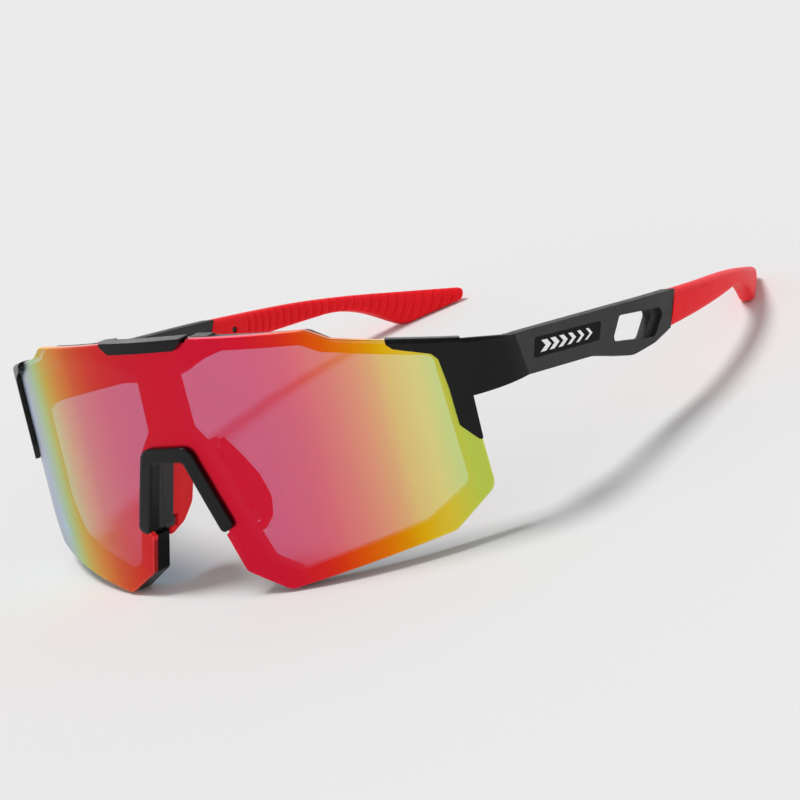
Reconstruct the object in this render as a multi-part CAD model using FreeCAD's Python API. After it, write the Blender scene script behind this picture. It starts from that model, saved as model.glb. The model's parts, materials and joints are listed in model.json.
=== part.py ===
import FreeCAD, Part
import math
import os

import BOPTools.SplitAPI as splitting
from FreeCAD import Placement, Rotation, Vector

# Wraparound shield sunglasses, millimetres and degrees.
#
# Two working frames are used before the glasses are stood on a table:
#   worn frame  X to the wearer's left, Y backwards, Z up; the temples lie along Y
#   lens frame  the worn frame tipped by LENS_TILT, so that the lens cylinder stands upright in it
# Both have their origin on the symmetry plane, at the front of the lens.
# Outlines on the lens are drawn flat, as (arc length, height), and rolled round the lens cylinder.

# ------------------------------------------------------------------ driving dimensions
LENS_RADIUS = 100.0          # front surface of the cylindrical shield
LENS_THICK = 1.6
LENS_TILT = 10.0             # the foot of the lens lies further back than its top
LENS_GAP = 0.1               # air between the lens and the frame that holds it
RIM_THICK = 3.4              # depth of the rim behind the lens
LIP_THICK = 1.2              # lips that lie over the front of the lens
RIM_FRONT = LENS_RADIUS - LENS_THICK - LENS_GAP
RIM_BACK = RIM_FRONT - RIM_THICK
LIP_BACK = LENS_RADIUS + LENS_GAP
LIP_FRONT = LIP_BACK + LIP_THICK

TEMPLE_THICK = 4.0
TEMPLE_MID_X = 74.2          # middle of the straight part of the left temple
TEMPLE_OUT_X = TEMPLE_MID_X + TEMPLE_THICK / 2
TEMPLE_IN_X = TEMPLE_MID_X - TEMPLE_THICK / 2
BEND_START_Y = 88.0          # the temples curve inwards behind this
BEND_RADIUS = 136.0
BEND_ANGLE = 37.0
TAIL_LENGTH = 60.0           # straight run of the plan curve after the bend, longer than the temple
SLEEVE_THICK = 4.6
TONGUE_THICK = 1.8           # core of the temple inside the rubber sleeve
FIT = 0.05                   # clearance all round between parts that are slid together
SEAM_GAP = 0.15              # gap between endpiece and open temple

ARM_START = 77.3             # arc length at which the endpiece leaves the lens cylinder
ARM_IN_X = 71.6
TOP_ROUND = 1.2              # rounding of the endpiece's two top edges
SEAM_TOP = (40.4, -1.0)      # butt joint of endpiece and temple, as (Y, Z)
SEAM_FOOT = (44.0, -10.8)

HINGE_X = 70.2
HINGE_Y = 42.4
KNUCKLE_RADIUS = 2.2
KNUCKLE_SWEEP = 2.45         # room cut for a knuckle in the part opposite
UPPER_EAR = (-4.5, -2.2)     # heights in the worn frame
MID_KNUCKLE = (-7.1, -4.7)
LOWER_EAR = (-9.6, -7.3)
SCREW_RADIUS = 0.7
SCREW_BORE = SCREW_RADIUS + FIT
SCREW_HEAD = (1.25, 0.8)     # radius, height
INSERT_RADIUS = 1.2

CLIP_SPLIT = 97.5            # the nose clip is in front of this radius, its carrier behind
CLIP_FRONT = 101.1
CARRIER_BACK = 93.4
PAD_AXIS = (6.9, 9.3, -22.0)     # a point of the left pad's swivel axis, lens frame
PAD_LEAN = 20.8                  # lean of the swivel axis, outwards to the foot
PAD_THICK = 2.2
PAD_WIRE = 0.6                   # radius of the pad's swivel rod
PAD_BOW = 0.5                    # radius of the wire loop brazed to it
LUG_RADIUS = 1.3
UPPER_LUG = (-0.2, 1.8)          # along the swivel axis
LOWER_LUG = (-19.8, -17.8)

PEG = (108.4, -1.5, 0.8)         # sleeve locking peg: Y, Z, radius
TIP_WIRE = (114.0, 0.45, 0.5)     # steel core of the temple tip: first Y, Z, radius
TIP_WIRE_END = 155.0             # Y of that core's rear end
BADGE_DEPTH = 0.6
RECESS_DEPTH = 1.6               # stepped rear part of the temple window

# ------------------------------------------------------------------ outlines: x, y, corner radius
LENS_HALF = [
    (12.8, 5.2, 0.0), (13.4, 5.8, 0.3), (43.0, 3.9, 4.0), (48.4, 0.9, 4.0), (60.4, -1.9, 0.0),
    (61.6, -2.6, 0.4), (71.2, -6.0, 1.5), (73.4, -9.0, 1.5), (74.2, -24.2, 2.0), (77.2, -28.4, 0.6),
    (77.7, -40.2, 3.5), (66.8, -48.2, 4.0), (25.4, -55.4, 3.0), (14.8, -50.0, 2.0), (11.5, -41.0, 0.0),
    (12.4, -40.3, 0.0), (6.0, -24.0, 1.5), (3.8, -21.0, 1.0),
]
EYE_HALF = [
    (5.6, -2.7, 0.5), (15.2, 0.2, 2.0), (21.2, 1.8, 2.0), (40.8, 0.4, 2.0), (45.3, -2.0, 2.0),
    (70.4, -7.9, 2.0), (72.2, -38.6, 2.5), (60.5, -45.2, 3.0), (27.9, -51.5, 2.0), (20.8, -48.0, 2.0),
    (17.8, -40.8, 1.0), (10.2, -20.8, 2.0), (6.0, -16.0, 1.0),
]
BROW_CLIP_HALF = [(12.9, 6.3, 0.3), (12.2, 5.2, 0.0), (10.2, 3.6, 0.4)]
ENDPIECE = [
    (60.8, -1.6, 0.0), (60.9, -2.8, 0.5), (62.2, -4.1, 1.0), (70.2, -7.0, 1.5), (71.5, -8.6, 1.0),
    (72.4, -15.8, 3.0), (72.8, -24.4, 1.0), (76.5, -28.7, 0.8), (ARM_START, -28.6, 0.3),
    (ARM_START, -5.0, 0.0),
]
TOP_RELIEF = [
    (14.5, 8.0, 0.0), (19.0, 4.9, 2.0), (43.0, 3.0, 3.0), (48.4, -0.3, 3.0), (60.4, -3.1, 3.0),
    (79.0, -6.4, 0.0), (79.0, 8.0, 0.0),
]
CLIP_HALF = [(7.1, -19.3, 3.6), (14.7, -38.9, 1.3), (11.5, -40.4, 1.2), (4.8, -22.8, 1.2)]
ARM_SIDE = [(18.0, 0.5, 0.0), SEAM_TOP + (0.0,), SEAM_FOOT + (0.0,), (30.2, -13.5, 0.6), (18.0, -15.5, 0.0)]
TEMPLE_SIDE = [
    (SEAM_TOP[0] + SEAM_GAP, SEAM_TOP[1], 0.4), (102.2, 1.9, 0.0), (98.6, -6.9, 0.0), (91.5, -9.6, 8.0),
    (82.6, -11.5, 12.0), (68.5, -9.6, 30.0), (SEAM_FOOT[0] + SEAM_GAP, SEAM_FOOT[1], 0.4),
]
SLEEVE_SIDE = [
    (102.2, 1.9, 0.0), (136.5, 3.1, 260.0), (169.7, 0.8, 0.9), (170.2, -1.0, 0.9), (168.9, -2.6, 1.2),
    (156.6, -7.0, 3.0), (143.6, -0.3, 25.0), (98.6, -6.9, 0.0),
]
TONGUE_SIDE = [
    (100.0, 0.6, 0.0), (136.5, 1.8, 200.0), (162.4, 0.5, 0.6), (161.4, -2.4, 0.6), (156.3, -4.3, 1.5),
    (143.8, 0.1, 10.0), (98.6, -5.2, 0.0),
]
WINDOW = [(79.3, -1.7, 1.0), (94.4, -1.7, 1.2), (89.4, -8.2, 1.6), (75.6, -7.5, 1.0)]
WINDOW_RECESS = [(79.3, -1.7, 1.0), (97.2, -1.7, 1.4), (91.8, -8.2, 2.2), (75.6, -7.5, 1.0)]
BADGE = [(47.7, -2.9, 0.5), (72.3, -2.1, 0.5), (70.8, -6.3, 0.5), (46.5, -7.3, 0.5)]
PAD = [
    (-1.0, -0.7, 0.7), (1.6, -0.7, 0.0), (1.6, 1.2, 0.6), (2.7, 0.9, 0.6), (5.2, -4.6, 10.0),
    (7.2, -10.5, 6.0), (7.2, -16.2, 4.0), (4.6, -20.4, 3.0), (1.0, -22.2, 2.0), (-0.8, -22.4, 0.8),
    (-0.8, -20.2, 0.0), (1.6, -20.2, 0.0), (1.6, -17.4, 0.0), (-1.0, -17.4, 0.7),
]


# ------------------------------------------------------------------ flat outlines
def loop(points, grow=0.0):
    """Closed flat wire through (x, y, corner radius), its corners rounded by arcs."""
    corners = []
    for index, (x, y, radius) in enumerate(points):
        corner = Vector(x, y, 0)
        before = Vector(*points[index - 1][:2], 0) - corner
        after = Vector(*points[(index + 1) % len(points)][:2], 0) - corner
        before.normalize()
        after.normalize()
        if radius == 0:
            corners.append((corner, None, corner))
            continue
        half_angle = before.getAngle(after) / 2
        reach = radius / math.tan(half_angle)
        inward = (before + after).normalize()
        crown = corner + inward * (radius / math.sin(half_angle) - radius)
        corners.append((corner + before * reach, crown, corner + after * reach))
    edges = []
    for index, (start, crown, end) in enumerate(corners):
        if crown:
            edges.append(Part.Arc(start, crown, end).toShape())
        following = corners[(index + 1) % len(corners)][0]
        edges.append(Part.LineSegment(end, following).toShape())
    wire = Part.Wire(edges)
    return wire.makeOffset2D(grow) if grow else wire


def both_halves(half):
    """The whole outline of a symmetric piece from its half on the +x side."""
    return half + [(-x, y, radius) for x, y, radius in reversed(half)]


# ------------------------------------------------------------------ rolled plates, lens frame
def on_cylinder(arc, height, radius):
    angle = arc / LENS_RADIUS
    return Vector(radius * math.sin(angle), LENS_RADIUS - radius * math.cos(angle), height)


def rolled_edge(edge, radius):
    spline = Part.BSplineCurve()
    spline.interpolate([on_cylinder(p.x, p.y, radius) for p in edge.discretize(Number=9)])
    return spline.toShape()


def front_half_tube(radius_in, radius_out):
    """The front half of a tube on the lens axis, taller than any plate."""
    foot = Vector(0, 0, -80)
    outer = Part.makeCylinder(radius_out, 110, foot, Vector(0, 0, 1), 180)
    inner = Part.makeCylinder(radius_in, 110, foot, Vector(0, 0, 1), 180)
    tube = outer.cut(inner)
    tube.rotate(Vector(0, 0, 0), Vector(0, 0, 1), 180)
    tube.translate(Vector(0, LENS_RADIUS, 0))
    return tube


def rolled_plate(wire, radius_in, radius_out):
    """A flat outline rolled round the lens axis, its side walls square to the surface."""
    walls = []
    for edge in wire.Edges:
        low = rolled_edge(edge, radius_in - 1)
        high = rolled_edge(edge, radius_out + 1)
        walls.append(Part.makeRuledSurface(low, high))
    pieces = splitting.slice(front_half_tube(radius_in, radius_out), [Part.Shell(walls)], "Split")
    return min(pieces.Solids, key=lambda piece: piece.Volume)


# ------------------------------------------------------------------ worn frame
def worn(shape):
    """A shape of the lens frame, placed in the worn frame."""
    return shape.transformed(Rotation(Vector(1, 0, 0), LENS_TILT).toMatrix())


def mirror(shape):
    return shape.mirror(Vector(0, 0, 0), Vector(1, 0, 0))


def side_prism(points, x_low, x_high, grow=0.0):
    """A side outline (Y, Z), extruded along X."""
    face = Part.Face(loop(points, grow))
    solid = face.extrude(Vector(0, 0, x_high - x_low))
    # the flat x, y and the extrusion become Y, Z and X
    solid.Placement = Placement(Vector(x_low, 0, 0), Rotation(Vector(1, 1, 1), 120))
    return solid


def temple_band(thickness):
    """A band of the given thickness along the temple's plan curve, as tall as the glasses."""
    middle = Vector(TEMPLE_MID_X - BEND_RADIUS, BEND_START_Y, -30)

    def side_edges(offset):
        radius = BEND_RADIUS + offset
        points = [middle + Vector(radius * math.cos(a), radius * math.sin(a), 0)
                  for a in (0, math.radians(BEND_ANGLE / 2), math.radians(BEND_ANGLE))]
        start = points[0] - Vector(0, BEND_START_Y - SEAM_TOP[0] + 5, 0)
        heading = math.radians(BEND_ANGLE)
        end = points[2] + Vector(-math.sin(heading), math.cos(heading), 0) * TAIL_LENGTH
        arc = Part.Arc(*points).toShape()
        return start, end, [Part.LineSegment(start, points[0]).toShape(), arc,
                            Part.LineSegment(points[2], end).toShape()]

    inner_start, inner_end, inner = side_edges(-thickness / 2)
    outer_start, outer_end, outer = side_edges(thickness / 2)
    ends = [Part.LineSegment(inner_start, outer_start).toShape(),
            Part.LineSegment(inner_end, outer_end).toShape()]
    wire = Part.Wire(Part.sortEdges(inner + outer + ends)[0])
    return Part.Face(wire).extrude(Vector(0, 0, 60))


def upright(x, y, radius, heights):
    """A vertical cylinder between two heights."""
    low, high = heights
    return Part.makeCylinder(radius, high - low, Vector(x, y, low))


def widened(heights, margin):
    return heights[0] - margin, heights[1] + margin


# ------------------------------------------------------------------ front: lens and frame
def make_lens():
    plate = rolled_plate(loop(both_halves(LENS_HALF)), LENS_RADIUS - LENS_THICK, LENS_RADIUS)
    return worn(plate)


def lens_room(radius_in, radius_out):
    """The lens outline with its clearance, to be cut from what grips the lens or rim."""
    return rolled_plate(loop(both_halves(LENS_HALF), LENS_GAP), radius_in, radius_out)


def make_arm():
    """The endpiece behind the lens cylinder: a curved arm back to the left hinge."""
    heading = ARM_START / LENS_RADIUS
    rise = 1 - math.sin(heading)
    starts = [on_cylinder(ARM_START, -40, LIP_FRONT), on_cylinder(ARM_START, -40, RIM_BACK)]
    runs = []
    for start, x_end in zip(starts, (TEMPLE_OUT_X, ARM_IN_X)):
        radius = (x_end - start.x) / rise
        middle = start + Vector(-math.sin(heading), math.cos(heading), 0) * radius
        bow = (heading - math.pi / 2) / 2
        crown = middle + Vector(math.cos(bow), math.sin(bow), 0) * radius
        end = middle + Vector(radius, 0, 0)
        tail = Vector(end.x, 60, end.z)
        runs.append((start, tail, [Part.Arc(start, crown, end).toShape(),
                                   Part.LineSegment(end, tail).toShape()]))
    (out_start, out_tail, outer), (in_start, in_tail, inner) = runs
    ends = [Part.LineSegment(out_start, in_start).toShape(), Part.LineSegment(out_tail, in_tail).toShape()]
    band = Part.Face(Part.Wire(Part.sortEdges(outer + inner + ends)[0])).extrude(Vector(0, 0, 60))
    return worn(band).common(side_prism(ARM_SIDE, 60, 90))


def rounded_on_top(shape, lowest):
    """A shape with the long edges of its top rounded: those above the height given."""
    runs = [edge for edge in shape.Edges if edge.BoundBox.YLength > 6 and edge.CenterOfMass.z > lowest]
    return shape.makeFillet(TOP_ROUND, runs)


def make_ear(heights):
    """One hinge ear of the left endpiece."""
    low, high = heights
    web_depth = 6.0
    web = Part.makeBox(ARM_IN_X + 0.4 - (HINGE_X - KNUCKLE_RADIUS), web_depth, high - low,
                       Vector(HINGE_X - KNUCKLE_RADIUS, HINGE_Y - web_depth, low))
    return upright(HINGE_X, HINGE_Y, KNUCKLE_RADIUS, heights).fuse(web)


def make_endpiece():
    plate = rounded_on_top(rolled_plate(loop(ENDPIECE), RIM_BACK, LIP_FRONT), -4.0)
    arm = rounded_on_top(make_arm(), -1.5)
    arm = arm.cut(upright(HINGE_X, HINGE_Y, KNUCKLE_SWEEP, widened(MID_KNUCKLE, 0.15)))
    body = worn(plate).fuse([arm, make_ear(UPPER_EAR), make_ear(LOWER_EAR)])
    bore = upright(HINGE_X, HINGE_Y, SCREW_BORE, (-20, 5))
    head_room = upright(HINGE_X, HINGE_Y, SCREW_HEAD[0] + FIT, (UPPER_EAR[1] - SCREW_HEAD[1], 5))
    insert_room = upright(HINGE_X, HINGE_Y, INSERT_RADIUS + FIT, (-20, LOWER_EAR[1] - 0.3))
    return body.cut([bore, head_room, insert_room])


def make_frame():
    """The moulded front: rim, brow clip and the two endpieces in one."""
    rim = rolled_plate(loop(both_halves(LENS_HALF)), RIM_BACK, RIM_FRONT)
    eye = rolled_plate(loop(EYE_HALF), RIM_BACK - 1, RIM_FRONT + 1)
    clip = rolled_plate(loop(both_halves(BROW_CLIP_HALF)), CLIP_SPLIT, LIP_FRONT)
    front = worn(rim.cut([eye, mirror(eye)]).fuse(clip))
    endpiece = make_endpiece()
    relief = worn(rolled_plate(loop(TOP_RELIEF), RIM_BACK - 1, RIM_FRONT))
    room = worn(lens_room(RIM_FRONT, LIP_BACK))
    body = front.fuse([endpiece, mirror(endpiece)])
    return body.cut([relief, mirror(relief), room]).removeSplitter()


def make_screw():
    heights = (LOWER_EAR[0] + 0.2, UPPER_EAR[1])
    shank = upright(HINGE_X, HINGE_Y, SCREW_RADIUS, heights)
    head = upright(HINGE_X, HINGE_Y, SCREW_HEAD[0], (UPPER_EAR[1] - SCREW_HEAD[1] + FIT, UPPER_EAR[1]))
    slot = Part.makeBox(3, 0.35, 0.35, Vector(HINGE_X - 1.5, HINGE_Y - 0.175, UPPER_EAR[1] - 0.35))
    return shank.fuse(head).cut(slot)


def make_insert():
    heights = (LOWER_EAR[0], LOWER_EAR[1] - 0.3 - FIT)
    ring = upright(HINGE_X, HINGE_Y, INSERT_RADIUS, heights)
    return ring.cut(upright(HINGE_X, HINGE_Y, SCREW_RADIUS + 0.02, widened(heights, 1)))


# ------------------------------------------------------------------ nose piece
def make_nose_clip():
    plate = rolled_plate(loop(both_halves(CLIP_HALF)), CLIP_SPLIT, CLIP_FRONT)
    return worn(plate.cut(lens_room(CLIP_SPLIT - 1, LIP_BACK)))


def beside_pad(shape):
    """A shape drawn about the left pad's swivel axis, placed in the worn frame."""
    shape.Placement = Placement(Vector(*PAD_AXIS), Rotation(Vector(0, 1, 0), -PAD_LEAN))
    return worn(shape)


def make_lug(span):
    """A lug of the carrier that holds one end of the pad's wire."""
    low, high = span
    stem = 2.75
    block = Part.makeBox(2 * LUG_RADIUS, stem, high - low, Vector(-LUG_RADIUS, -stem, low))
    lug = block.fuse(upright(0, 0, LUG_RADIUS, span))
    return lug.cut(upright(0, 0, PAD_WIRE + FIT, widened(span, 1)))


def make_carrier():
    plate = rolled_plate(loop(both_halves(CLIP_HALF)), CARRIER_BACK, CLIP_SPLIT - LENS_GAP)
    rail = worn(plate.cut(lens_room(RIM_BACK - LENS_GAP, CLIP_SPLIT + 1)))
    lugs = [beside_pad(make_lug(span)) for span in (UPPER_LUG, LOWER_LUG)]
    bores = beside_pad(upright(0, 0, PAD_WIRE + FIT, (LOWER_LUG[0] - 1, UPPER_LUG[1] + 1)))
    return rail.cut([bores, mirror(bores)]).fuse(lugs + [mirror(lug) for lug in lugs])


def make_pad_wire():
    """The pad's armature: a straight swivel rod and a loop inside the rubber."""
    rod = upright(0, 0, PAD_WIRE, (LOWER_LUG[0] + 0.1, UPPER_LUG[1] - 0.1))
    start = Vector(0, 0, -3.5)
    arc = Part.Arc(start, Vector(0, 5, -9.5), Vector(0, 0, -15.5))
    section = Part.Wire(Part.Circle(start, arc.tangent(arc.FirstParameter)[0], PAD_BOW).toShape())
    bow = Part.Wire(arc.toShape()).makePipeShell([section], True, True)
    return rod.fuse(bow)


def make_pad():
    profile = Part.Face(loop(PAD)).extrude(Vector(0, 0, PAD_THICK))
    profile.Placement = Placement(Vector(-PAD_THICK / 2, 0, 0), Rotation(Vector(1, 1, 1), 120))
    return profile.cut(make_pad_wire())


# ------------------------------------------------------------------ temples
def make_temple():
    """The left temple: blade with window and badge pocket, hinge knuckle, tongue for the sleeve."""
    blade = temple_band(TEMPLE_THICK).common(side_prism(TEMPLE_SIDE, 40, 90))
    recess_x = TEMPLE_OUT_X - RECESS_DEPTH
    blade = blade.cut([side_prism(WINDOW, 60, 90), side_prism(WINDOW_RECESS, recess_x, 90),
                       side_prism(BADGE, TEMPLE_OUT_X - BADGE_DEPTH, 90, FIT),
                       upright(HINGE_X, HINGE_Y, KNUCKLE_SWEEP, (-20, 5))])
    low, high = MID_KNUCKLE
    web = Part.makeBox(TEMPLE_IN_X + 0.6 - (HINGE_X - KNUCKLE_RADIUS), 6.5, high - low,
                       Vector(HINGE_X - KNUCKLE_RADIUS, HINGE_Y + 0.5, low))
    knuckle = upright(HINGE_X, HINGE_Y, KNUCKLE_RADIUS, MID_KNUCKLE).fuse(web)
    tongue = temple_band(TONGUE_THICK).common(side_prism(TONGUE_SIDE, 30, 90))
    temple = blade.fuse([knuckle, tongue, make_peg(PEG[2])])
    return temple.cut([upright(HINGE_X, HINGE_Y, SCREW_BORE, (-20, 5)), make_tip_wire(FIT)])


def make_peg(radius):
    """Peg on the tongue's inner face that shows through the sleeve and locks it."""
    swing = (PEG[0] - BEND_START_Y) / BEND_RADIUS
    middle_x = TEMPLE_MID_X - BEND_RADIUS * (1 - math.cos(math.asin(swing)))
    length = SLEEVE_THICK / 2 - 0.3
    return Part.makeCylinder(radius, length, Vector(middle_x, PEG[0], PEG[1]), Vector(-1, 0, 0))


def make_tip_wire(grow=0.0):
    """Bendable steel core in the tongue, along the middle of the temple's plan curve."""
    first_y, height, radius = TIP_WIRE
    middle = Vector(TEMPLE_MID_X - BEND_RADIUS, BEND_START_Y, height)
    first, last = [math.asin((y - BEND_START_Y) / BEND_RADIUS) for y in (first_y, TIP_WIRE_END)]
    start, crown, end = [middle + Vector(math.cos(a), math.sin(a), 0) * BEND_RADIUS
                         for a in (first, (first + last) / 2, last)]
    path = Part.Wire(Part.Arc(start, crown, end).toShape())
    along = Vector(-math.sin(first), math.cos(first), 0)
    section = Part.Wire(Part.Circle(start, along, radius + grow).toShape())
    return path.makePipeShell([section], True, True)


def make_sleeve():
    skin = temple_band(SLEEVE_THICK).common(side_prism(SLEEVE_SIDE, 30, 90))
    hollow = temple_band(TONGUE_THICK + 2 * FIT).common(side_prism(TONGUE_SIDE, 30, 90, FIT))
    return skin.cut([hollow, make_peg(PEG[2] + FIT).fuse(make_peg(PEG[2] + FIT).translated(Vector(-2, 0, 0)))])


def make_badge():
    return side_prism(BADGE, TEMPLE_OUT_X - BADGE_DEPTH + FIT, TEMPLE_OUT_X + FIT)


# ------------------------------------------------------------------ assembly, worn frame
def assemble():
    nodes = {"lens_shield": make_lens(), "frame_front": make_frame(),
             "nose_clip": make_nose_clip(), "nose_carrier": make_carrier()}
    left_pieces = {
        "nose_pad": beside_pad(make_pad()),
        "nose_pad_wire": beside_pad(make_pad_wire()),
        "temple": make_temple(),
        "temple_sleeve": make_sleeve(),
        "tip_wire": make_tip_wire(),
        "temple_badge": make_badge(),
        "hinge_screw": make_screw(),
        "hinge_insert": make_insert(),
    }
    for name, shape in left_pieces.items():
        nodes[name + "_left"] = shape
        nodes[name + "_right"] = mirror(shape)
    return nodes


# ------------------------------------------------------------------ standing on a table
def stand(nodes):
    """Tip the glasses back until the foot of the lens and the temple tips both touch the table."""
    front = nodes["frame_front"].fuse(nodes["lens_shield"])
    tips = nodes["temple_sleeve_left"]
    tilt = 17.7
    for _ in range(4):
        turn = Rotation(Vector(1, 0, 0), -tilt).toMatrix()
        front_box = front.transformed(turn).optimalBoundingBox(False)
        tips_box = tips.transformed(turn).optimalBoundingBox(False)
        span = tips_box.Center.y - front_box.YMin
        tilt += math.degrees((tips_box.ZMin - front_box.ZMin) / span)
    whole = Part.Compound(list(nodes.values())).transformed(turn).optimalBoundingBox(False)
    return turn, Vector(0, -whole.Center.y, -whole.ZMin), tilt


def main():
    nodes = assemble()
    turn, shift, tilt = stand(nodes)
    os.makedirs("parts", exist_ok=True)
    for name, shape in nodes.items():
        placed = shape.transformed(turn)
        placed.translate(shift)
        placed.exportStep("parts/%s.step" % name)
        print(name, placed.isValid(), len(placed.Solids), round(placed.Volume, 1), placed.BoundBox)

    def report(title, point, direction):
        placed = turn.multVec(point) + shift
        pointing = turn.multVec(direction)
        print(title, [round(v, 4) for v in placed], "axis", [round(v, 5) for v in pointing])

    print("tilt", round(tilt, 3), "shift", shift)
    report("temple hinge", Vector(HINGE_X, HINGE_Y, sum(MID_KNUCKLE) / 2), Vector(0, 0, 1))
    tip = Rotation(Vector(1, 0, 0), LENS_TILT)
    lean = Rotation(Vector(0, 1, 0), -PAD_LEAN)
    report("pad swivel", tip.multVec(Vector(*PAD_AXIS)), tip.multVec(lean.multVec(Vector(0, 0, 1))))


main()
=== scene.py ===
import json
import math

import bmesh
import bpy
import numpy as np
from mathutils import Matrix, Vector
from mathutils.geometry import delaunay_2d_cdt


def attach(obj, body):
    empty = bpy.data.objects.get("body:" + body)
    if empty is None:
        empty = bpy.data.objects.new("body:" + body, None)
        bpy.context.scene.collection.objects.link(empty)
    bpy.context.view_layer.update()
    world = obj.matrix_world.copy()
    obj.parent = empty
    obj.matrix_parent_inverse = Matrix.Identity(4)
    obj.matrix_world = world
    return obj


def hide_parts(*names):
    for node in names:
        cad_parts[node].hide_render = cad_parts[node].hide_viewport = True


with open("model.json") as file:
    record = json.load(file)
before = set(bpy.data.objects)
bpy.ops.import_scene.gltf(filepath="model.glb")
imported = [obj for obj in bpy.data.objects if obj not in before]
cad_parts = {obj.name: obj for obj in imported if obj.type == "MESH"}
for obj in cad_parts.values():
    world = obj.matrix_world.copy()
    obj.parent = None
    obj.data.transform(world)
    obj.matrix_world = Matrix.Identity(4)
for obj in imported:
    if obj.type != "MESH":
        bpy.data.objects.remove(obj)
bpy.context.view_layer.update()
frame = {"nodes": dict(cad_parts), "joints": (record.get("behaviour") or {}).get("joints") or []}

# The glasses are described in millimetres as worn: X to the wearer's left, Y back, Z up, from the
# front of the lens. On the table they stand pitched forward on the lens and the temple tips.
MM = 0.001
LENS_TILT = math.radians(10)
LENS_RADIUS = 100.0
LENS_THICK = 1.6
HINGE_WORN = Vector((70.2, 42.4, -5.9))

hinge = next(j for j in frame["joints"] if j["name"] == "temple_fold_left")
pitch = math.atan2(hinge["axis"][1], hinge["axis"][2])
TURN = Matrix.Rotation(-pitch, 4, "X")
SHIFT = Vector(hinge["pos_m"]) - TURN @ (HINGE_WORN * MM)
WORN = Matrix.Translation(SHIFT) @ TURN @ Matrix.Scale(MM, 4)
LENS = WORN @ Matrix.Rotation(LENS_TILT, 4, "X")

# Outlines: corner x, corner y, corner radius.
LENS_HALF = [
    (12.8, 5.2, 0), (13.4, 5.8, 0.3), (43.0, 3.9, 4), (48.4, 0.9, 4), (60.4, -1.9, 0), (61.6, -2.6, 0.4),
    (71.2, -6.0, 1.5), (73.4, -9.0, 1.5), (74.2, -24.2, 2), (77.2, -28.4, 0.6), (77.7, -40.2, 3.5),
    (66.8, -48.2, 4), (25.4, -55.4, 3), (14.8, -50.0, 2), (11.5, -41.0, 0), (12.4, -40.3, 0),
    (6.0, -24.0, 1.5), (3.8, -21.0, 1.0),
]
LENS_OUTLINE = LENS_HALF + [(-x, y, r) for x, y, r in reversed(LENS_HALF)]
SLEEVE_SIDE = [
    (102.2, 1.9, 0), (136.5, 3.1, 260), (169.7, 0.8, 0.9), (170.2, -1.0, 0.9), (168.9, -2.6, 1.2),
    (156.6, -7.0, 3), (143.6, -0.3, 25), (98.6, -6.9, 0),
]
PAD_SIDE = [
    (-1, -0.7, 0.7), (1.6, -0.7, 0), (1.6, 1.2, 0.6), (2.7, 0.9, 0.6), (5.2, -4.6, 10), (7.2, -10.5, 6),
    (7.2, -16.2, 4), (4.6, -20.4, 3), (1.0, -22.2, 2), (-0.8, -22.4, 0.8), (-0.8, -20.2, 0), (1.6, -20.2, 0),
    (1.6, -17.4, 0), (-1, -17.4, 0.7),
]

LENS_ROUND = 0.25
LENS_GRID = 2.5, 6.0

# Temple: its middle surface is straight, bends inwards in one arc, and is straight again.
TEMPLE_X = 74.2
BEND_START = 88.0
BEND_RADIUS = 136.0
BEND_ANGLE = math.radians(37)

SLEEVE_TOP_CORNER = SLEEVE_SIDE[0]
SLEEVE_FOOT_CORNER = SLEEVE_SIDE[-1]
SLEEVE_END = max(y for y, z, radius in SLEEVE_SIDE)
SLEEVE_HALF_THICK = 2.3
SLEEVE_TAPER = 0.05         # how much thinner it starts, as a share
SLEEVE_TAPER_Y = 98.0, 101.0
SLEEVE_TIP_ROUND = 2.0
SLEEVE_BODY = 0.968         # share of the length in front of the closely spaced tip rows
SLEEVE_BODY_ROWS = 350
SLEEVE_TIP_ROWS = 16
SLEEVE_RING = 52
SECTION_POWER = 3.4
SECTION_TALL = 4.0          # half the sleeve's usual height
SLEEVE_SHARP = math.radians(50)

# Grip grooves on the sleeve's inner face. A pair is where a smooth change starts and ends.
RIB_PITCH = 2.15
RIB_DEPTH = 0.4
RIB_WIDTH = 0.15
RIB_MIDDLE_Z = -1.5
RIB_SLANT = 0.1
RIB_MORE_SLANT = 0.28
RIB_TURN_Y = 125.0, 160.0
RIB_FROM_Y = 111.5, 113.0
RIB_UNTIL_Y = 166.8, 168.2
RIB_EDGE = 0.74, 0.9        # share of the half height

PEG_HOLE_Y, PEG_HOLE_Z, PEG_HOLE_RADIUS = 108.4, -1.5, 0.85
PEG_HOLE_DEPTH = 1.2
PEG_HOLE_SIDES = 32
DRILL_OVER = 1.0            # how far the cutting bar stands out of the sleeve

PAD_THICK = 2.2
PAD_ROUND = 0.5
PAD_GRID = 0.9, 1.4
PAD_LEAN = math.radians(-20.8)
PAD_AT = 6.9, 9.3, -22.0
PAD_PLACE = Matrix.Translation(PAD_AT) @ Matrix.Rotation(PAD_LEAN, 4, "Y")

# Badge corners in Y and Z: front top, back top, back foot, front foot.
BADGE_SIDE = [(47.7, -2.9), (72.3, -2.1), (70.8, -6.3), (46.5, -7.3)]
BADGE_FACE = 76.25
PRINT_SUNK = 0.02           # below the badge's face
PRINT_PROUD = 0.03          # above it
# Chevrons, as shares of the badge's length and height.
CHEVRONS = 6
CHEVRON_FIRST = 0.09
CHEVRON_PITCH = 0.135
CHEVRON_WIDE = 0.085
CHEVRON_THINNER = 0.009
CHEVRON_POINT = 0.07
CHEVRON_HEIGHTS = 0.2, 0.5, 0.8


# ---------------------------------------------------------------- outlines and meshes

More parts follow.
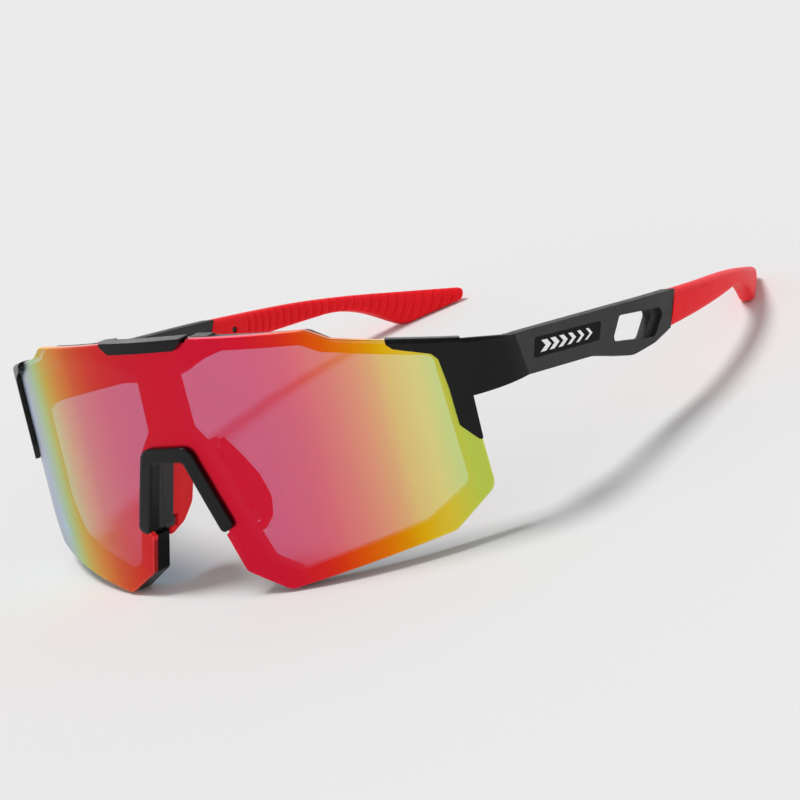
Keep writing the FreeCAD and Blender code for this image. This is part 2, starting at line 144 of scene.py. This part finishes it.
def rounded(corners, line_step=1.6, arc_step=0.35):
    """Closed outline, anticlockwise, of straight sides joined by the corner arcs."""
    area = sum(a[0] * b[1] - b[0] * a[1] for a, b in zip(corners, corners[1:] + corners[:1]))
    if area < 0:
        corners = corners[::-1]
    wide_arc = 6.0          # arcs of a larger radius take longer steps
    runs = []
    for k, (x, y, radius) in enumerate(corners):
        at = Vector((x, y))
        a = (Vector(corners[k - 1][:2]) - at).normalized()
        b = (Vector(corners[(k + 1) % len(corners)][:2]) - at).normalized()
        if radius <= 0:
            runs.append([at])
            continue
        half = math.acos(max(-1.0, min(1.0, a.dot(b)))) / 2
        centre = at + (a + b).normalized() * (radius / math.sin(half))
        reach = radius / math.tan(half)
        start, end = at + a * reach - centre, at + b * reach - centre
        first = math.atan2(start.y, start.x)
        sweep = (math.atan2(end.y, end.x) - first + math.pi) % (2 * math.pi) - math.pi
        steps = max(2, math.ceil(abs(sweep) * radius / (arc_step * max(1.0, radius / wide_arc))))
        turns = [first + sweep * i / steps for i in range(steps + 1)]
        runs.append([centre + Vector((math.cos(turn), math.sin(turn))) * radius for turn in turns])
    points = []
    for k, run in enumerate(runs):
        points += run
        gap = runs[(k + 1) % len(runs)][0] - run[-1]
        steps = max(1, round(gap.length / line_step))
        points += [run[-1] + gap * (i / steps) for i in range(1, steps)]
    same = 1e-4
    kept = [p for i, p in enumerate(points) if (p - points[i - 1]).length > same]
    return np.array([[p.x, p.y] for p in kept])


def outward(outline):
    """Outward normal at each point of an anticlockwise outline, and how far its mitre reaches."""
    along = np.roll(outline, -1, 0) - outline
    along /= np.linalg.norm(along, axis=1)[:, None]
    normal = np.stack([along[:, 1], -along[:, 0]], 1)
    mean = normal + np.roll(normal, 1, 0)
    mean /= np.linalg.norm(mean, axis=1)[:, None]
    sharpest = 0.6
    mitre = 1 / np.maximum(sharpest, (mean * normal).sum(1))
    return mean, mitre


def inside(points, outline, margin):
    """Which points lie inside the outline and at least margin from it."""
    a, b = outline, np.roll(outline, -1, 0)
    side = b - a
    px, py = points[:, 0][:, None], points[:, 1][:, None]
    rise = np.where(side[:, 1] == 0, 1e-9, side[:, 1])
    straddles = (a[:, 1] > py) != (b[:, 1] > py)
    crosses = straddles & (px < side[:, 0] * (py - a[:, 1]) / rise + a[:, 0])
    t = np.clip(((px - a[:, 0]) * side[:, 0] + (py - a[:, 1]) * side[:, 1]) / (side ** 2).sum(1), 0, 1)
    away = np.hypot(px - a[:, 0] - t * side[:, 0], py - a[:, 1] - t * side[:, 1]).min(1)
    return (crosses.sum(1) % 2 == 1) & (away > margin)


def plate(name, outline, place, thick, round_off, rings, grid):
    """Plate of an outline with rounded edges, bent and placed by place(x, y, w), w being the height
    through it. Faces of the front sheet have material 0, of the back sheet 1 and of the edge 2."""
    normal, mitre = outward(outline)
    mesh = bmesh.new()
    turns = [k / rings * math.pi / 2 for k in range(rings + 1)]
    insets = [round_off * (1 - math.sin(turn)) for turn in turns]
    drops = [round_off * (1 - math.cos(turn)) for turn in turns]
    rows = [(inset, thick - drop, turn, 1) for inset, drop, turn in zip(insets, drops, turns)]
    rows += [(inset, drop, turn, -1) for inset, drop, turn in zip(insets, drops, turns)][::-1]
    lean = {}

    def vertex(x, y, w, nx, ny, nw):
        here, nudge = place(x, y, w), 0.01
        made = mesh.verts.new(here)
        away = (place(x + nudge, y, w) - here) * nx
        away += (place(x, y + nudge, w) - here) * ny
        away += (place(x, y, w + nudge) - here) * nw
        lean[made] = away.normalized()
        return made

    loops = []
    for inset, w, turn, sign in rows:
        flat = outline - normal * (mitre * inset)[:, None]
        side, facing = math.sin(turn), math.cos(turn) * sign
        loops.append([vertex(p[0], p[1], w, n[0] * side, n[1] * side, facing) for p, n in zip(flat, normal)])
    count = len(outline)
    for upper, lower in zip(loops, loops[1:]):
        for i in range(count):
            j = (i + 1) % count
            mesh.faces.new((upper[i], lower[i], lower[j], upper[j])).material_index = 2
    rim = outline - normal * (mitre * round_off)[:, None]
    xs = np.arange(rim[:, 0].min(), rim[:, 0].max(), grid[0])
    ys = np.arange(rim[:, 1].min(), rim[:, 1].max(), grid[1])
    middle = np.array([(x, y) for x in xs for y in ys])
    middle = middle[inside(middle, rim, margin=0.4 * min(grid))]
    flat = [Vector(p) for p in rim] + [Vector(p) for p in middle]
    _, _, triangles, origins, _, _ = delaunay_2d_cdt(flat, [], [list(range(count))], 1, 1e-5)
    source = [o[0] for o in origins]
    for loop, w, sign, index in ((loops[0], thick, 1, 0), (loops[-1], 0.0, -1, 1)):
        sheet = loop + [vertex(p[0], p[1], w, 0, 0, sign) for p in middle]
        for face in triangles:
            corners = [sheet[source[k]] for k in face]
            mesh.faces.new(corners if sign > 0 else corners[::-1]).material_index = index
    return solid(name, mesh, lean)


def tube(mesh, rows):
    """Closed tube of faces through rows of vertices, with a flat face at each end."""
    count = len(rows[0])
    for a, b in zip(rows, rows[1:]):
        for i in range(count):
            j = (i + 1) % count
            mesh.faces.new((a[i], a[j], b[j], b[i]))
    mesh.faces.new(rows[0])
    mesh.faces.new(rows[-1][::-1])


def linked(name, data):
    """Object of the data, in the scene."""
    made = bpy.data.objects.new(name, data)
    bpy.context.scene.collection.objects.link(made)
    return made


def solid(name, mesh, lean=None):
    """Object of a closed bmesh, smooth shaded, with the vertex normals given in lean."""
    if lean is None:
        bmesh.ops.remove_doubles(mesh, verts=mesh.verts, dist=2e-6)
    bmesh.ops.recalc_face_normals(mesh, faces=mesh.faces)
    mesh.verts.index_update()
    data = bpy.data.meshes.new(name)
    normals = [lean[v] for v in mesh.verts] if lean else None
    mesh.to_mesh(data)
    mesh.free()
    data.shade_smooth()
    if normals:
        data.normals_split_custom_set_from_vertices(normals)
    return linked(name, data)


def mirrored(name, source):
    """The other side's copy of a piece, across the symmetry plane."""
    mesh = bmesh.new()
    mesh.from_mesh(source.data)
    bmesh.ops.transform(mesh, matrix=Matrix.Diagonal((-1, 1, 1, 1)), verts=mesh.verts)
    bmesh.ops.reverse_faces(mesh, faces=mesh.faces)
    data = bpy.data.meshes.new(name)
    mesh.to_mesh(data)
    mesh.free()
    return linked(name, data)


# ---------------------------------------------------------------- materials

NOISE_LIMITS = 0.3, 0.7     # nearly all of a noise lies between them


def tree(name):
    """Material without nodes, and its node tree."""
    made = bpy.data.materials.new(name)
    made.use_nodes = True
    made.node_tree.nodes.clear()
    return made, made.node_tree


def add(nodes, kind, **values):
    """Node of a kind with its properties set."""
    node = nodes.nodes.new(kind)
    for key, value in values.items():
        setattr(node, key, value)
    return node


def surface(nodes, shader_output):
    """Shows a shader as the material's surface."""
    out = add(nodes, "ShaderNodeOutputMaterial")
    nodes.links.new(shader_output, out.inputs["Surface"])


def level(value):
    """Linear RGBA of a neutral grey."""
    return value, value, value, 1.0


def linear(rgb):
    """Linear RGBA of an sRGB colour given from 0 to 255."""
    parts = [c / 255 for c in rgb]
    return *(c / 12.92 if c <= 10 / 255 else ((c + 0.055) / 1.055) ** 2.4 for c in parts), 1.0


def noise(nodes, where, scale, detail=3.0):
    """Noise fixed to the piece, its scale per metre."""
    node = add(nodes, "ShaderNodeTexNoise")
    node.inputs["Scale"].default_value = scale
    node.inputs["Detail"].default_value = detail
    node.inputs["Roughness"].default_value = 0.55
    nodes.links.new(where.outputs["Object"], node.inputs["Vector"])
    return node.outputs[0]


def ramp(nodes, factor, stops):
    """Colour run through stops of position and colour."""
    node = add(nodes, "ShaderNodeValToRGB")
    elements = node.color_ramp.elements
    while len(elements) > 1:
        elements.remove(elements[-1])
    elements[0].position, elements[0].color = stops[0]
    for position, colour in stops[1:]:
        elements.new(position).color = colour
    nodes.links.new(factor, node.inputs["Fac"])
    return node.outputs["Color"]


def spread(nodes, value, limits, low, high):
    """Value between the limits mapped to between low and high."""
    node = add(nodes, "ShaderNodeMapRange")
    for key, number in zip(("From Min", "From Max", "To Min", "To Max"), (*limits, low, high)):
        node.inputs[key].default_value = number
    nodes.links.new(value, node.inputs["Value"])
    return node.outputs["Result"]


def moulded(name, dark, light, rough, metallic=0.0, sheen=0.0, gloss=0.5, grain=2600.0, relief=0.12,
            edge=0.00025):
    """Plastic, rubber or metal: colour and roughness that vary a little, fine grain, softened edges."""
    blotch = 60.0
    made, nodes = tree(name)
    where = add(nodes, "ShaderNodeTexCoord")
    shader = add(nodes, "ShaderNodeBsdfPrincipled")
    shader.inputs["Metallic"].default_value = metallic
    shader.inputs["Sheen Weight"].default_value = sheen
    shader.inputs["Sheen Roughness"].default_value = 0.45
    shader.inputs["Specular IOR Level"].default_value = gloss
    colour = ramp(nodes, noise(nodes, where, blotch), [(0.32, linear(dark)), (0.68, linear(light))])
    nodes.links.new(colour, shader.inputs["Base Color"])
    wear = spread(nodes, noise(nodes, where, blotch * 6), NOISE_LIMITS, rough - 0.05, rough + 0.05)
    nodes.links.new(wear, shader.inputs["Roughness"])
    soft = add(nodes, "ShaderNodeBevel", samples=6)
    soft.inputs["Radius"].default_value = edge
    bump = add(nodes, "ShaderNodeBump")
    bump.inputs["Strength"].default_value = relief
    bump.inputs["Distance"].default_value = 0.00005
    nodes.links.new(noise(nodes, where, grain, 2.0), bump.inputs["Height"])
    nodes.links.new(soft.outputs["Normal"], bump.inputs["Normal"])
    nodes.links.new(bump.outputs["Normal"], shader.inputs["Normal"])
    surface(nodes, shader.outputs["BSDF"])
    return made


def part_clear(nodes, shader, tint, clear):
    """Lets the share of clear through the surface, tinted."""
    through = add(nodes, "ShaderNodeBsdfTransparent")
    through.inputs["Color"].default_value = tint
    mix = add(nodes, "ShaderNodeMixShader")
    mix.inputs["Fac"].default_value = clear
    nodes.links.new(shader.outputs["BSDF"], mix.inputs[1])
    nodes.links.new(through.outputs["BSDF"], mix.inputs[2])
    surface(nodes, mix.outputs["Shader"])


# Mirror coating: distance round the lens from its middle, and the colour there.
MIRROR = [
    (-74, (206, 210, 226)), (-64, (204, 208, 226)), (-56, (200, 226, 204)), (-50, (208, 230, 130)),
    (-45, (236, 204, 50)), (-38.7, (250, 166, 30)), (-33.3, (252, 132, 28)), (-28.4, (248, 98, 26)),
    (-21.9, (246, 66, 34)), (-16, (244, 46, 44)), (-7, (238, 34, 54)), (20, (234, 28, 58)),
    (28, (236, 30, 54)), (36, (242, 48, 36)), (40, (248, 68, 20)), (46, (252, 104, 10)),
    (52, (255, 140, 8)), (56, (255, 168, 4)), (60, (255, 200, 16)), (66, (254, 222, 64)),
    (74, (214, 232, 92)),
]
MIRROR_REACH = 75.0         # X at both ends of the run of colour


def mirror_stops(painted_highlight):
    """The coating's colours at shares of the way across the lens, from the wearer's right to left, lightened
    towards white by a share as a painted highlight.
    """
    stops = []
    for around, rgb in MIRROR:
        x = LENS_RADIUS * math.sin(around / LENS_RADIUS)
        share = (x + MIRROR_REACH) / (2 * MIRROR_REACH)
        stops.append((share, linear([c + (255 - c) * painted_highlight for c in rgb])))
    return stops


def coated(name, clear, tint, painted_highlight, rough):
    """Mirror coating, the share of clear letting tinted light through, its colours lightened towards white
    as a painted highlight.
    """
    made, nodes = tree(name)
    where = add(nodes, "ShaderNodeTexCoord")
    split = add(nodes, "ShaderNodeSeparateXYZ")
    nodes.links.new(where.outputs["Object"], split.inputs["Vector"])
    ends = -MIRROR_REACH * MM, MIRROR_REACH * MM
    across = spread(nodes, split.outputs["X"], ends, 0.0, 1.0)
    shader = add(nodes, "ShaderNodeBsdfPrincipled")
    shader.inputs["Metallic"].default_value = 1.0
    shader.inputs["Coat Weight"].default_value = 0.06
    shader.inputs["Coat Roughness"].default_value = 0.04
    film = add(nodes, "ShaderNodeMix", data_type="RGBA", blend_type="MULTIPLY")
    film.inputs["Factor"].default_value = 1.0
    nodes.links.new(ramp(nodes, across, mirror_stops(painted_highlight)), film.inputs["A"])
    haze = ramp(nodes, noise(nodes, where, 34.0, 2.0), [(0.3, level(0.95)), (0.7, level(1.0))])
    nodes.links.new(haze, film.inputs["B"])
    nodes.links.new(film.outputs["Result"], shader.inputs["Base Color"])
    wear = spread(nodes, noise(nodes, where, 120.0), NOISE_LIMITS, rough - 0.02, rough + 0.02)
    nodes.links.new(wear, shader.inputs["Roughness"])
    part_clear(nodes, shader, tint, clear)
    return made


def smoked(name, clear):
    """Inner face of the lens: smoke-tinted, part-clear."""
    made, nodes = tree(name)
    where = add(nodes, "ShaderNodeTexCoord")
    shader = add(nodes, "ShaderNodeBsdfPrincipled")
    shader.inputs["Roughness"].default_value = 0.08
    shader.inputs["Coat Weight"].default_value = 0.3
    smoke = [(0.3, linear((16, 12, 14))), (0.7, linear((30, 20, 22)))]
    nodes.links.new(ramp(nodes, noise(nodes, where, 30.0), smoke), shader.inputs["Base Color"])
    part_clear(nodes, shader, (0.92, 0.9, 0.9, 1), clear)
    return made


lens_front = coated("lens_mirror_front", clear=0.28, tint=(0.08, 0.62, 1.0, 1), painted_highlight=0.0, rough=0.3)
# The edge's colours are lightened towards white: a painted highlight standing in for the bright edge lines.
lens_edge = coated("lens_mirror_edge", clear=0.05, tint=(1.0, 0.9, 0.9, 1), painted_highlight=0.1, rough=0.25)
lens_back = smoked("lens_smoke_back", clear=0.9)
black = moulded("frame_black", (5, 6, 5), (10, 11, 10), 0.3, gloss=0.2)
clip_black = moulded("clip_black", (4, 5, 5), (8, 9, 9), 0.22, gloss=0.22, edge=0.0009)
carrier = moulded("carrier_grey", (40, 40, 41), (50, 50, 52), 0.45, gloss=0.3)
grey = moulded("temple_grey", (44, 44, 44), (52, 52, 52), 0.55, gloss=0.3, relief=0.25)
rubber = moulded("rubber_red", (240, 12, 26), (250, 22, 36), 0.6, sheen=0.12, gloss=0.15, relief=0.2)
inlay = moulded("badge_black", (3, 3, 3), (7, 7, 7), 0.35, gloss=0.1)
print_white = moulded("badge_print_white", (244, 244, 244), (252, 252, 252), 0.5, gloss=0.2, edge=0.00005)
steel = moulded("steel", (176, 177, 180), (196, 197, 200), 0.28, metallic=1.0, grain=1800.0)
brass = moulded("brass", (190, 150, 78), (208, 170, 96), 0.3, metallic=1.0, grain=1800.0)

FINISH = {
    "frame_front": black, "nose_clip": clip_black, "nose_carrier": carrier, "temple": grey,
    "temple_badge": inlay, "hinge_screw": steel, "tip_wire": steel, "nose_pad_wire": steel,
    "hinge_insert": brass, "lens_shield": lens_front, "temple_sleeve": rubber, "nose_pad": rubber,
}
for node, shown in frame["nodes"].items():
    base = node.removesuffix("_left").removesuffix("_right")
    shown.data.materials.clear()
    shown.data.materials.append(FINISH[base])


# ---------------------------------------------------------------- lens

def on_lens(around, z, w):
    """Point at a distance round the lens, a height on it and a height through it."""
    radius = LENS_RADIUS - LENS_THICK + w
    turn = around / LENS_RADIUS
    return LENS @ Vector((radius * math.sin(turn), LENS_RADIUS - radius * math.cos(turn), z))


lens = plate("lens", rounded(LENS_OUTLINE), on_lens, LENS_THICK, LENS_ROUND, rings=3, grid=LENS_GRID)
for finish in (lens_front, lens_back, lens_edge):
    lens.data.materials.append(finish)
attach(lens, "front")
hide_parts("lens_shield")


# ---------------------------------------------------------------- temple sleeves

def temple_middle(y):
    """X of the temple's middle surface and the angle it has turned inwards, at a distance back."""
    bend_end = BEND_START + BEND_RADIUS * math.sin(BEND_ANGLE)
    if y <= BEND_START:
        return TEMPLE_X, 0.0
    angle = math.asin((y - BEND_START) / BEND_RADIUS) if y <= bend_end else BEND_ANGLE
    beyond = max(0.0, y - bend_end)
    return TEMPLE_X - BEND_RADIUS * (1 - math.cos(angle)) - beyond * math.tan(BEND_ANGLE), angle


def section(count):
    """Rounded cross-section evenly divided: height from -1 to 1, offset from -1 to 1."""
    fine = 4001
    angle = np.linspace(0, 2 * math.pi, fine)
    height = np.sign(np.cos(angle)) * np.abs(np.cos(angle)) ** (2 / SECTION_POWER)
    offset = np.sign(np.sin(angle)) * np.abs(np.sin(angle)) ** (2 / SECTION_POWER)
    steps = np.hypot(np.diff(height) * SECTION_TALL, np.diff(offset) * SLEEVE_HALF_THICK)
    run = np.concatenate([[0], np.cumsum(steps)])
    at = np.linspace(0, run[-1], count + 1)[:-1]
    return list(zip(np.interp(at, run, height), np.interp(at, run, offset)))


def smooth(limits, x):
    """0 before the first limit, 1 past the second, and a smooth rise between them."""
    low, high = limits
    t = min(1.0, max(0.0, (x - low) / (high - low)))
    return t * t * (3 - 2 * t)


def rib(y, z, height):
    """Depth of the grip grooves on the inner face."""
    slant = RIB_SLANT + RIB_MORE_SLANT * smooth(RIB_TURN_Y, y)
    phase = ((y - slant * (z - RIB_MIDDLE_Z)) / RIB_PITCH) % 1.0
    groove = RIB_DEPTH * math.exp(-((phase - 0.5) / RIB_WIDTH) ** 2)
    along = smooth(RIB_FROM_Y, y) * (1 - smooth(RIB_UNTIL_Y, y))
    return groove * along * (1 - smooth(RIB_EDGE, abs(height)))


def nearest(outline, corner):
    """Index of the outline's point nearest to a corner."""
    return int(np.argmin(np.hypot(outline[:, 0] - corner[0], outline[:, 1] - corner[1])))


def sleeve(name):
    """Left sleeve: rounded sections from its slanted front to its tip, grooved on the inner face."""
    outline = rounded(SLEEVE_SIDE, line_step=0.5, arc_step=0.15)
    outline = np.roll(outline, -nearest(outline, SLEEVE_FOOT_CORNER), 0)
    tip = int(np.argmax(outline[:, 0]))
    under = outline[:tip + 1]
    over = outline[tip:nearest(outline, SLEEVE_TOP_CORNER) + 1][::-1]
    low_front, high_front, back = SLEEVE_FOOT_CORNER[0], SLEEVE_TOP_CORNER[0], outline[tip, 0]
    closing = np.sin(np.linspace(0, math.pi / 2, SLEEVE_TIP_ROWS))[1:]
    stations = np.concatenate([
        np.linspace(0, SLEEVE_BODY, SLEEVE_BODY_ROWS), SLEEVE_BODY + (1 - SLEEVE_BODY) * closing])
    ring = section(SLEEVE_RING)
    mesh = bmesh.new()
    rows = []
    for t in stations:
        low_y = low_front + t * (back - low_front)
        high_y = high_front + t * (back - high_front)
        low_z = np.interp(low_y, under[:, 0], under[:, 1])
        high_z = np.interp(high_y, over[:, 0], over[:, 1])
        front_half = SLEEVE_HALF_THICK * (1 - SLEEVE_TAPER + SLEEVE_TAPER * smooth(SLEEVE_TAPER_Y, low_y))
        row = []
        for height, offset in ring:
            part = (height + 1) / 2
            y, z = low_y + part * (high_y - low_y), low_z + part * (high_z - low_z)
            middle, angle = temple_middle(y)
            into_tip = max(0.0, y - (SLEEVE_END - SLEEVE_TIP_ROUND)) / SLEEVE_TIP_ROUND
            depth = front_half * math.sqrt(max(0.0, 1 - into_tip ** 2)) * offset
            if offset < 0:
                depth += rib(y, z, height)
            row.append(mesh.verts.new(WORN @ Vector((middle + depth / math.cos(angle), y, z))))
        rows.append(row)
    tube(mesh, rows)
    return solid(name, mesh)


def drill(name):
    """Short round bar that cuts the sleeve's hole over the temple's peg."""
    middle, angle = temple_middle(PEG_HOLE_Y)
    mesh = bmesh.new()
    rows = []
    for depth in (-SLEEVE_HALF_THICK - DRILL_OVER, -SLEEVE_HALF_THICK + PEG_HOLE_DEPTH):
        row = []
        for k in range(PEG_HOLE_SIDES):
            turn = 2 * math.pi * k / PEG_HOLE_SIDES
            y = PEG_HOLE_Y + PEG_HOLE_RADIUS * math.cos(turn)
            z = PEG_HOLE_Z + PEG_HOLE_RADIUS * math.sin(turn)
            row.append(mesh.verts.new(WORN @ Vector((middle + depth / math.cos(angle), y, z))))
        rows.append(row)
    tube(mesh, rows)
    return solid(name, mesh)


sleeve_left = sleeve("sleeve_left")
cutter = drill("drill")
cut = sleeve_left.modifiers.new("peg_hole", "BOOLEAN")
cut.operation, cut.object, cut.solver = "DIFFERENCE", cutter, "EXACT"
bpy.context.view_layer.update()
evaluated = sleeve_left.evaluated_get(bpy.context.evaluated_depsgraph_get())
drilled = bpy.data.meshes.new_from_object(evaluated)
sleeve_left.modifiers.clear()
sleeve_left.data = drilled
bpy.data.objects.remove(cutter)
sleeve_left.data.materials.clear()
sleeve_left.data.materials.append(rubber)
sleeve_left.data.shade_smooth()
sleeve_left.data.set_sharp_from_angle(angle=SLEEVE_SHARP)
sleeve_right = mirrored("sleeve_right", sleeve_left)
sleeve_right.data.materials.append(rubber)
for side, piece in (("left", sleeve_left), ("right", sleeve_right)):
    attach(piece, "temple_" + side)
    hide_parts("temple_sleeve_" + side)


# ---------------------------------------------------------------- nose pads

def on_pad(y, z, w):
    """Point of the left pad at a distance back, a height and a distance through it."""
    return LENS @ PAD_PLACE @ Vector((w - PAD_THICK / 2, y, z))


def on_pad_right(y, z, w):
    """The same point of the right pad."""
    here = on_pad(y, z, w)
    return Vector((-here.x, here.y, here.z))


for side, place in (("left", on_pad), ("right", on_pad_right)):
    outline = rounded(PAD_SIDE, line_step=0.8, arc_step=0.12)
    pad = plate("pad_" + side, outline, place, PAD_THICK, PAD_ROUND, rings=4, grid=PAD_GRID)
    for _ in ("front", "back", "edge"):
        pad.data.materials.append(rubber)
    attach(pad, "nose_pad_" + side)
    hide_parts("nose_pad_" + side)


# ---------------------------------------------------------------- badge prints

def on_badge(along, up):
    """Y and Z of a point given as shares of the badge's length and height."""
    front_top, back_top, back_foot, front_foot = [Vector(p) for p in BADGE_SIDE]
    return (front_foot.lerp(back_foot, along)).lerp(front_top.lerp(back_top, along), up)


def chevrons(name, sign):
    """Row of chevrons on one side's badge, thinner towards the back."""
    foot, waist, top = CHEVRON_HEIGHTS
    mesh = bmesh.new()
    for k in range(CHEVRONS):
        at = CHEVRON_FIRST + k * CHEVRON_PITCH
        end = at + (CHEVRON_WIDE - k * CHEVRON_THINNER)
        corners = [(at, foot), (end, foot), (end + CHEVRON_POINT, waist), (end, top), (at, top),
                   (at + CHEVRON_POINT, waist)]
        outline = [on_badge(along, up) for along, up in corners]
        tube(mesh, [[mesh.verts.new(WORN @ Vector((x * sign, y, z))) for y, z in outline]
                    for x in (BADGE_FACE - PRINT_SUNK, BADGE_FACE + PRINT_PROUD)])
    made = solid(name, mesh)
    made.data.shade_flat()
    made.data.materials.append(print_white)
    return made


for side, sign in (("left", 1), ("right", -1)):
    mark = chevrons("badge_print_" + side, sign)
    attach(mark, "temple_" + side)


# ---------------------------------------------------------------- floor, light and camera

FLOOR_HALF = 6              # metres
floor_mesh = bmesh.new()
floor_corners = [(x * FLOOR_HALF, y * FLOOR_HALF, 0) for x, y in ((-1, -1), (1, -1), (1, 1), (-1, 1))]
floor_mesh.faces.new([floor_mesh.verts.new(p) for p in floor_corners])
floor = solid("floor", floor_mesh)
if floor.data.polygons[0].normal.z < 0:
    floor.data.flip_normals()
paper, nodes = tree("paper")
where = add(nodes, "ShaderNodeTexCoord")
shader = add(nodes, "ShaderNodeBsdfPrincipled")
shader.inputs["Roughness"].default_value = 0.9
shader.inputs["Specular IOR Level"].default_value = 0.0
fibre = ramp(nodes, noise(nodes, where, 900.0), [(0.3, level(0.795)), (0.7, level(0.805))])
nodes.links.new(fibre, shader.inputs["Base Color"])
surface(nodes, shader.outputs["BSDF"])
floor.data.materials.append(paper)

# Brightness of the sky at heights from the horizon, 0, to straight up, 1.
SKY = [(0.0, 1.5), (0.16, 1.1), (0.45, 0.45), (1.0, 0.26)]
world = bpy.context.scene.world or bpy.data.worlds.new("World")
bpy.context.scene.world = world
world.use_nodes = True
sky = world.node_tree
sky.nodes.clear()
where = add(sky, "ShaderNodeTexCoord")
split = add(sky, "ShaderNodeSeparateXYZ")
sky.links.new(where.outputs["Generated"], split.inputs["Vector"])
glow = ramp(sky, split.outputs["Z"], [(height, level(value)) for height, value in SKY])
background = add(sky, "ShaderNodeBackground")
background.inputs["Strength"].default_value = 1.0
sky.links.new(glow, background.inputs["Color"])
sky.links.new(background.outputs["Background"], add(sky, "ShaderNodeOutputWorld").inputs["Surface"])

LAMP_TOWARDS = Vector((-0.285, -0.061, 1.0))
lamp = bpy.data.lights.new("soft_lamp", "SUN")
lamp.energy = 2.0
lamp.angle = math.radians(22)
sun = linked("soft_lamp", lamp)
sun.rotation_euler = LAMP_TOWARDS.to_track_quat("Z", "Y").to_euler()

# The camera stands at the photograph's viewing angle. Its place is given in the worn frame, in millimetres.
CAMERA_WORN = Vector((779.20, -819.47, 73.42))
AZIMUTH, ELEVATION, ROLL = (math.radians(v) for v in (40.674, 4.443, 6.798))
flat_reach = math.cos(ELEVATION)
back = Vector((math.sin(AZIMUTH) * flat_reach, -math.cos(AZIMUTH) * flat_reach, math.sin(ELEVATION)))
right = Vector((math.cos(AZIMUTH), math.sin(AZIMUTH), 0))
up = back.cross(right)
rolled_right = right * math.cos(ROLL) - up * math.sin(ROLL)
rolled_up = right * math.sin(ROLL) + up * math.cos(ROLL)
facing = TURN.to_3x3() @ Matrix((rolled_right, rolled_up, back)).transposed()
optics = bpy.data.cameras.new("camera")
optics.lens = 222.8
optics.sensor_width = 36
optics.clip_start = 0.05
optics.clip_end = 50
camera = linked("camera", optics)
camera.matrix_world = Matrix.Translation(WORN @ CAMERA_WORN) @ facing.to_4x4()
bpy.context.scene.camera = camera
bpy.context.scene.view_settings.view_transform = "Standard"
